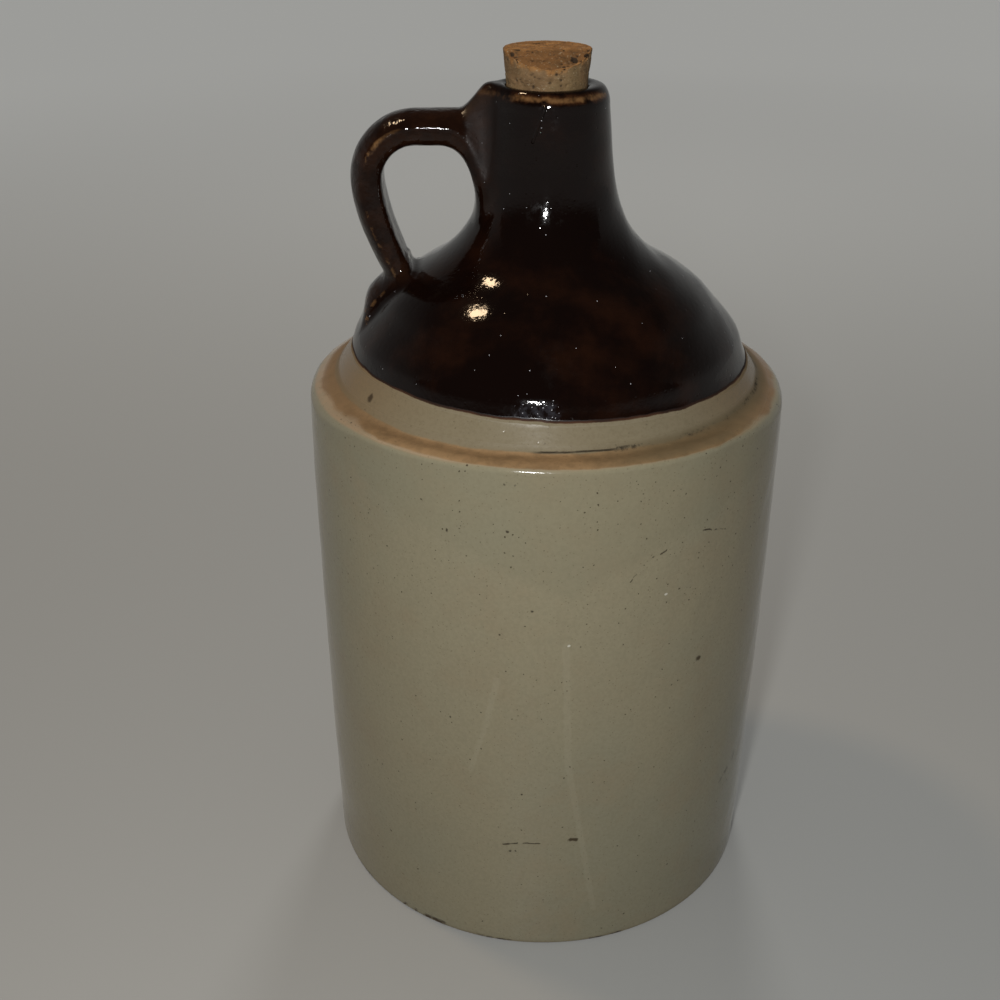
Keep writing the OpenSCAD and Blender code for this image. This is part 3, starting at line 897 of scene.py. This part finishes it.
    # Dark glaze: redder where it is thin, rusty at its edge, and tan where it breaks over the
    # handle's ridges and in a ring round the mouth
    strap = n.attribute("strap")
    streaks = n.step(n.noise(where, 110, 4.0, 0.65), 0.36, 0.68, 0.25, 0.95)
    patches = n.step(n.noise(where, 36, 2.0), 0.44, 0.60)
    patches = n.times(patches, n.step(n.noise(where, 300, 4.0, 0.7), 0.38, 0.62))
    at_bend = n.times(n.step(x, -0.054, -0.064), n.step(z, 0.336, 0.346))
    broken = n.madd(at_bend, 0.45, n.times(patches, 0.46))
    on_ridge = n.step(n.times(n.attribute("ridge"), broken), 0.16, 0.62)
    ring_z = n.madd(n.noise(where, 200, 3.0, 0.7), 0.0022, -0.0011)
    ring_gap = n.gap(n.math("ADD", z, ring_z), RING_LINE)
    ring_part = n.step(n.noise(where, 110, 3.0, 0.7), 0.38, 0.60)
    ring_part = n.times(ring_part, n.step(x, -0.019, -0.012, 0.22, 1))
    ring = n.times(n.step(ring_gap, 0.0014, 0.0002), ring_part)
    halo = n.times(n.step(ring_gap, 0.0026, 0.0006), ring_part)
    rust = n.step(n.noise(where, 60, 3.0), 0.38, 0.62, 0.40, 1)
    rust = n.times(n.step(over, 0.0011, 0.0003), rust)
    # Painted glints and painted sheen: pale dots in the dark glaze, most of them in a scuff below the
    # shoulder's turn, where a faint bluish painted sheen lies too
    painted_glint_patch = n.marks(bent, SCUFF_AND_GLINT_PATCH)
    near, random = n.cells(where, 900.0)
    chosen = n.math("GREATER_THAN", random[0], n.step(painted_glint_patch, 0.0, 1.0, 0.995, 0.50))
    grain = n.times(n.step(near, 0.24, 0.14), chosen)
    painted_sheen = n.times(painted_glint_patch, n.step(n.noise(where, 330, 4.0, 0.7), 0.40, 0.66))
    brown = n.paint(
        BROWN, (n.step(n.noise(where, 26, 5.0, 0.6), 0.46, 0.74), BROWN_RED),
        (n.times(strap, streaks), STRAP_RED), (n.times(halo, 0.8), EDGE_RUST),
        (n.largest(n.times(on_ridge, 0.80), n.times(ring, 0.85)), BREAK_TAN), (rust, EDGE_RUST),
        # Painted sheen, then painted glints, over the scuff
        (n.times(painted_sheen, 0.28), PAINTED_SHEEN), (n.times(grain, 0.80), PAINTED_GLINT))
    n.put(n.mix(is_brown, stone, brown), shader["Base Color"])

    # Gloss: worn patches on the dark glaze, and a duller ledge, dirt, glaze edge, crease and
    # joint of the handle and the neck
    worn = n.times(n.step(n.noise(where, 48, 6.0, 0.75), 0.52, 0.66), is_brown)
    rough = n.stack(
        n.madd(cloudy, 0.07, 0.07), (worn, 0.16),
        (n.times(on_ledge, n.math("SUBTRACT", 1.0, is_brown)), 0.14),
        (n.largest(crease_dirt, chips, dark, bare), 0.45),
        (n.step(n.math("ABSOLUTE", over), 0.0014, 0.0005), 0.80), (is_brown, -0.045),
        (n.step(crease_gap, 0.0030, 0.0008), 0.32), (n.marks(where, DULL_JOINT), 0.62))
    n.put(rough, shader["Roughness"])
    shader["Specular IOR Level"].default_value = 0.26

    # Relief in metres: orange peel, pinholes, a run under the mouth, the scuff, the strap's
    # unevenness and the chips. Blender works it out three times, so it has nodes of its own.
    near, random = n.cells(where, 380.0)
    pin = n.times(n.step(near, 0.26, 0.04), n.math("GREATER_THAN", random[2], 0.82))
    height = n.stack(
        n.times(n.noise(where, 480, 2.0, 0.5), 0.00006), (pin, -0.00007),
        (n.marks(where, MOUTH_RUN), 0.00050),
        (n.times(n.marks(where, SCUFF_AND_GLINT_PATCH), n.noise(where, 950, 3.0, 0.7)), 0.000030),
        (n.times(strap, n.noise(where, 170, 3.0)), 0.00060),
        (n.times(n.marks(where, BASE_CHIPS), chipped), -0.0003))
    bump = n.add("Bump", in_Height=height, in_Strength=1.0, in_Distance=1.0)
    n.put(bump.outputs["Normal"], shader["Normal"])
    return m


jug.data.materials.append(glaze_material())


# The cork: turned, worn at the front of its top, pitted all over

# Large pits on the worn slope and its edge: x, y from the cork's middle, radius, depth
FRONT_PITS = [
    (10.1, -9.9, 1.25, 1.5), (15.3, -8.2, 1.0, 1.2), (6.0, -15.2, 0.8, 1.0), (-1.9, -10.6, 0.75, 0.6),
    (-14.0, -7.1, 0.9, 0.8), (-12.6, -11.9, 0.6, 0.6), (12.6, -11.2, 0.8, 0.8), (8.0, -12.6, 0.6, 0.5)]
# Cracks in the top: x, y of both ends
TOP_CRACKS = [
    (-15.5, 1.5, -10.0, 4.2), (-10.0, 4.2, -4.5, 5.0), (-12.0, 9.0, -4.0, 11.0), (-4.0, 11.0, 3.5, 9.8),
    (-16.0, -3.2, -11.8, -4.6), (4.0, 13.0, 9.0, 11.8), (-3.0, 1.0, 5.0, 2.4)]
SIDE_PITS = 170


def build_cork():
    rng = np.random.default_rng(11)
    segments = 220
    low_z = CORK_TOP_Z - CORK_L
    edge = 0.9
    rows = [(CORK_END_R * t, low_z) for t in (0.25, 0.5, 0.75, 0.93)]
    levels = [*np.linspace(low_z + 0.4, MOUTH_Z - 2, 16), *np.linspace(MOUTH_Z - 1.5, CORK_TOP_Z - edge, 34)]
    rows += [(CORK_R - CORK_SLOPE * (CORK_TOP_Z - z), z) for z in levels]
    rows += [(CORK_R - edge + edge * math.cos(a), CORK_TOP_Z - edge + edge * math.sin(a))
             for a in np.radians((30, 60, 90))]
    rows += [(r, CORK_TOP_Z) for r in np.linspace(CORK_R - 1.4, 0.5, 36)]
    p, quads = turned_grid(rows, segments, 0)
    n = len(p)
    p = np.vstack([p, [[0, 0, low_z]], [[0, 0, CORK_TOP_Z]]])
    last = (len(rows) - 1) * segments
    faces = quads + [((i + 1) % segments, i, n) for i in range(segments)]
    faces += [(last + i, last + (i + 1) % segments, n + 1) for i in range(segments)]
    # The worn front slopes down, a little hollow and uneven
    front = np.maximum(0, -p[:, 1] - WEAR_START + 0.8 * waves(p * [1, 0, 0], 11, 4))
    plane = CORK_TOP_Z - front * WEAR_DROP / (CORK_R - WEAR_START)
    plane += np.where(front > 0, 0.30 * waves(p, 8, 3) * np.minimum(front / 3, 1), 0)
    p[:, 2] = np.where(p[:, 2] > MOUTH_Z + 1, np.minimum(p[:, 2], plane), p[:, 2])
    spread = np.hypot(p[:, 0], p[:, 1])
    radial = np.c_[p[:, 0], p[:, 1], np.zeros(len(p))] / np.maximum(spread, 1e-6)[:, None]
    on_top = (p[:, 2] >= plane - 0.02) & (spread < CORK_R - 0.6)
    normal = np.where(on_top[:, None], [[0, 0, 1.0]], radial)
    shown = np.clip((p[:, 2] - MOUTH_Z + 1) / 1.5, 0, 1)
    rise = 0.11 * waves(p, 5, 5) + 0.08 * waves(p, 2.2, 6, 12) + 0.06 * waves(p, 1.1, 8, 14)
    pit = np.zeros(len(p))
    for _ in range(SIDE_PITS):
        a, z = rng.uniform(0, 2 * math.pi), rng.uniform(MOUTH_Z, CORK_TOP_Z)
        on_side = rng.uniform() < 0.6
        wide, deep, squash = rng.uniform(0.25, 0.85), rng.uniform(0.25, 0.9), rng.uniform(0.6, 1.5)
        r = CORK_R - CORK_SLOPE * (CORK_TOP_Z - z) if on_side else CORK_R * math.sqrt(rng.uniform())
        c = np.array([r * math.cos(a), r * math.sin(a), z])
        if on_side:
            gap = np.where(on_top, 9, np.linalg.norm((p - c) * [1, 1, squash], axis=1))
        else:
            gap = np.where(on_top, np.hypot(p[:, 0] - c[0], (p[:, 1] - c[1]) * squash), 9)
        pit = np.maximum(pit, np.exp(-(gap / wide) ** 2) * deep)
    for px, py, wide, deep in FRONT_PITS:
        gap = np.hypot(p[:, 0] - px, (p[:, 1] - py) * 0.8) + 0.22 * waves(p, 1.6, 31)
        near_top = plane - p[:, 2] < 1.1
        pit = np.maximum(pit, np.where(near_top, np.exp(-np.maximum(gap / wide, 0) ** 4) * deep, 0))
    for x0, y0, x1, y1 in TOP_CRACKS:
        start, way = np.array([x0, y0]), np.array([x1 - x0, y1 - y0])
        t = np.clip(((p[:, :2] - start) @ way) / (way @ way), 0, 1)
        gap = np.linalg.norm(p[:, :2] - start - t[:, None] * way, axis=1) + 0.22 * waves(p, 3, 21)
        pit = np.maximum(pit, np.where(on_top, np.exp(-(gap / 0.70) ** 2) * 1.1, 0))
    p = p + normal * ((np.minimum(rise, 0.12) - pit - 0.12) * shown)[:, None]
    p[:, 0] -= MOUTH_SHIFT
    # How much each point belongs to the worn slope, for the colour
    worn = np.clip(front / 2, 0, 1) * on_top
    # The top's colour runs a little way down the side, with a ragged edge
    below_top = plane - p[:, 2] - 0.2 + 0.8 * waves(p, 6, 51) + 0.5 * waves(p, 2.4, 52)
    top = np.clip(1 - below_top / 1.8, 0, 1)
    return p, faces, pit, np.where(on_top, 1, top * (p[:, 2] > MOUTH_Z + 1)), worn


points, faces, *masks = build_cork()
cork = make_object("cork_pitted", points, faces)
for name, values in zip(("pit", "top", "worn"), masks):
    add_attribute(cork, name, values)
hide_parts("cork_stopper")
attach(cork, "root")


def cork_material():
    m, n, shader = material("natural_cork")
    where = n.add("TexCoord").outputs["Object"]
    stretched = n.vector("MULTIPLY", where, (1.0, 1.0, 1.7))
    grain = n.noise(stretched, 460, 7.0, 0.7)
    patch = n.noise(where, 150, 4.0, 0.6)
    side = n.paint(
        (0.200, 0.120, 0.055), (n.step(patch, 0.38, 0.62), (0.145, 0.086, 0.038)),
        (n.step(n.noise(where, 70, 2.0), 0.45, 0.65, 0, 0.6), (0.180, 0.124, 0.056)))
    crown = n.mix(n.step(patch, 0.36, 0.66), (0.315, 0.152, 0.047), (0.200, 0.092, 0.028))
    slope = n.mix(n.step(patch, 0.36, 0.62), (0.192, 0.088, 0.027), (0.126, 0.062, 0.020))
    color = n.paint(
        side, (n.attribute("top"), n.mix(n.attribute("worn"), crown, slope)),
        (n.step(grain, 0.56, 0.66, 0, 0.75), (0.062, 0.034, 0.015)),
        (n.step(n.noise(stretched, 900, 3.0, 0.6), 0.40, 0.31, 0, 0.70), (0.350, 0.280, 0.180)),
        (n.step(n.attribute("pit"), 0.15, 0.6, 0, 0.92), (0.020, 0.012, 0.006)))
    n.put(color, shader["Base Color"])
    n.put(n.madd(grain, 0.2, 0.68), shader["Roughness"])
    shader["Specular IOR Level"].default_value = 0.3
    height = n.madd(patch, 0.0003, n.times(grain, 0.0005))
    bump = n.add("Bump", in_Height=height, in_Strength=0.8, in_Distance=1.0)
    n.put(bump.outputs["Normal"], shader["Normal"])
    return m


cork.data.materials.append(cork_material())


# Floor, light and camera

FLOOR_HALF = 8.0

def seen_rays(n):
    """1 for camera, glossy and transmission rays, 0 for the light that falls on the object."""
    path = n.add("LightPath").outputs
    return n.largest(path["Is Camera Ray"], path["Is Glossy Ray"], path["Is Transmission Ray"])


def build_floor():
    corners = np.array([(-1, -1, 0), (1, -1, 0), (1, 1, 0), (-1, 1, 0)])
    mesh = new_mesh("floor", corners * FLOOR_HALF, [(0, 1, 2, 3)])
    obj = bpy.data.objects.new("floor", mesh)
    bpy.context.scene.collection.objects.link(obj)
    m, n, shader = material("pale_floor")
    shader["Base Color"].default_value = (0.26, 0.26, 0.248, 1.0)
    shader["Roughness"].default_value = 0.42
    shader["Specular IOR Level"].default_value = 0.4
    shader["Emission Color"].default_value = (1.0, 1.0, 0.96, 1.0)
    # The far floor is seen paler than the floor at the jug
    away = n.vector("LENGTH", n.add("TexCoord").outputs["Object"], out="Value")
    n.put(n.times(seen_rays(n), n.step(away, 0.30, 2.40, 0.06, 0.25)), shader["Emission Strength"])
    mesh.materials.append(m)


build_floor()


def area_light(name, at, towards, size, power, color=(1, 1, 1)):
    data = bpy.data.lights.new(name, "AREA")
    data.energy = power
    data.color = color
    data.shape = "DISK"
    data.size = size
    obj = bpy.data.objects.new(name, data)
    bpy.context.scene.collection.objects.link(obj)
    obj.location = at
    obj.rotation_mode = "QUATERNION"
    obj.rotation_quaternion = (Vector(towards) - obj.location).to_track_quat("-Z", "Y")
    obj.visible_camera = False
    return obj


area_light("key_lamp", (-0.075, -0.58, 0.50), (0, 0, 0.18), 0.042, 2.85)
area_light("warm_lamp", (-0.65, 0.30, 1.55), (0, 0, 0.25), 0.20, 4.4, (1.0, 0.73, 0.46))
area_light("back_lamp", (0.15, 1.25, 1.10), (0, 0, 0.15), 0.34, 8.0).visible_glossy = False


def soft_room():
    """A world that lights evenly, and is seen as a room: pale behind and beside the jug, dark
    above and in front."""
    world = bpy.data.worlds.new("soft_room")
    bpy.context.scene.world = world
    world.use_nodes = True
    n = Nodes(world.node_tree)
    light = world.node_tree.nodes["Background"]
    light.inputs["Color"].default_value = (1.0, 1.0, 0.98, 1.0)
    light.inputs["Strength"].default_value = 0.225
    seen = n.add("Background", in_Color=(1.0, 1.0, 0.97, 1.0))
    way = n.add("SeparateXYZ", in_Vector=n.add("TexCoord").outputs["Generated"]).outputs
    front = n.times(n.step(way["Z"], 0.08, 0.32), n.step(way["Y"], -0.06, -0.16))
    dark = n.largest(front, n.step(way["Z"], 0.02, 0.75))
    n.put(n.madd(dark, -0.25, 0.29), seen.inputs["Strength"])
    both = n.add("MixShader")
    for value, socket in zip((seen_rays(n), light.outputs[0], seen.outputs[0]), both.inputs):
        n.put(value, socket)
    n.put(both.outputs[0], world.node_tree.nodes["World Output"].inputs["Surface"])


soft_room()

camera_data = bpy.data.cameras.new("camera")
camera_data.sensor_fit = "HORIZONTAL"
camera_data.sensor_width = 36.0
camera_data.lens = CAMERA_LENS
camera_data.clip_start = 0.01
camera = bpy.data.objects.new("camera", camera_data)
bpy.context.scene.collection.objects.link(camera)
camera.location = CAMERA_AT
tilt = Euler((math.pi / 2 - CAMERA_DOWN, 0, 0)).to_matrix()
roll = Matrix.Rotation(CAMERA_ROLL, 3, "Z")
camera.rotation_euler = (tilt @ roll).to_euler()
bpy.context.scene.camera = camera
bpy.context.scene.view_settings.view_transform = "Standard"
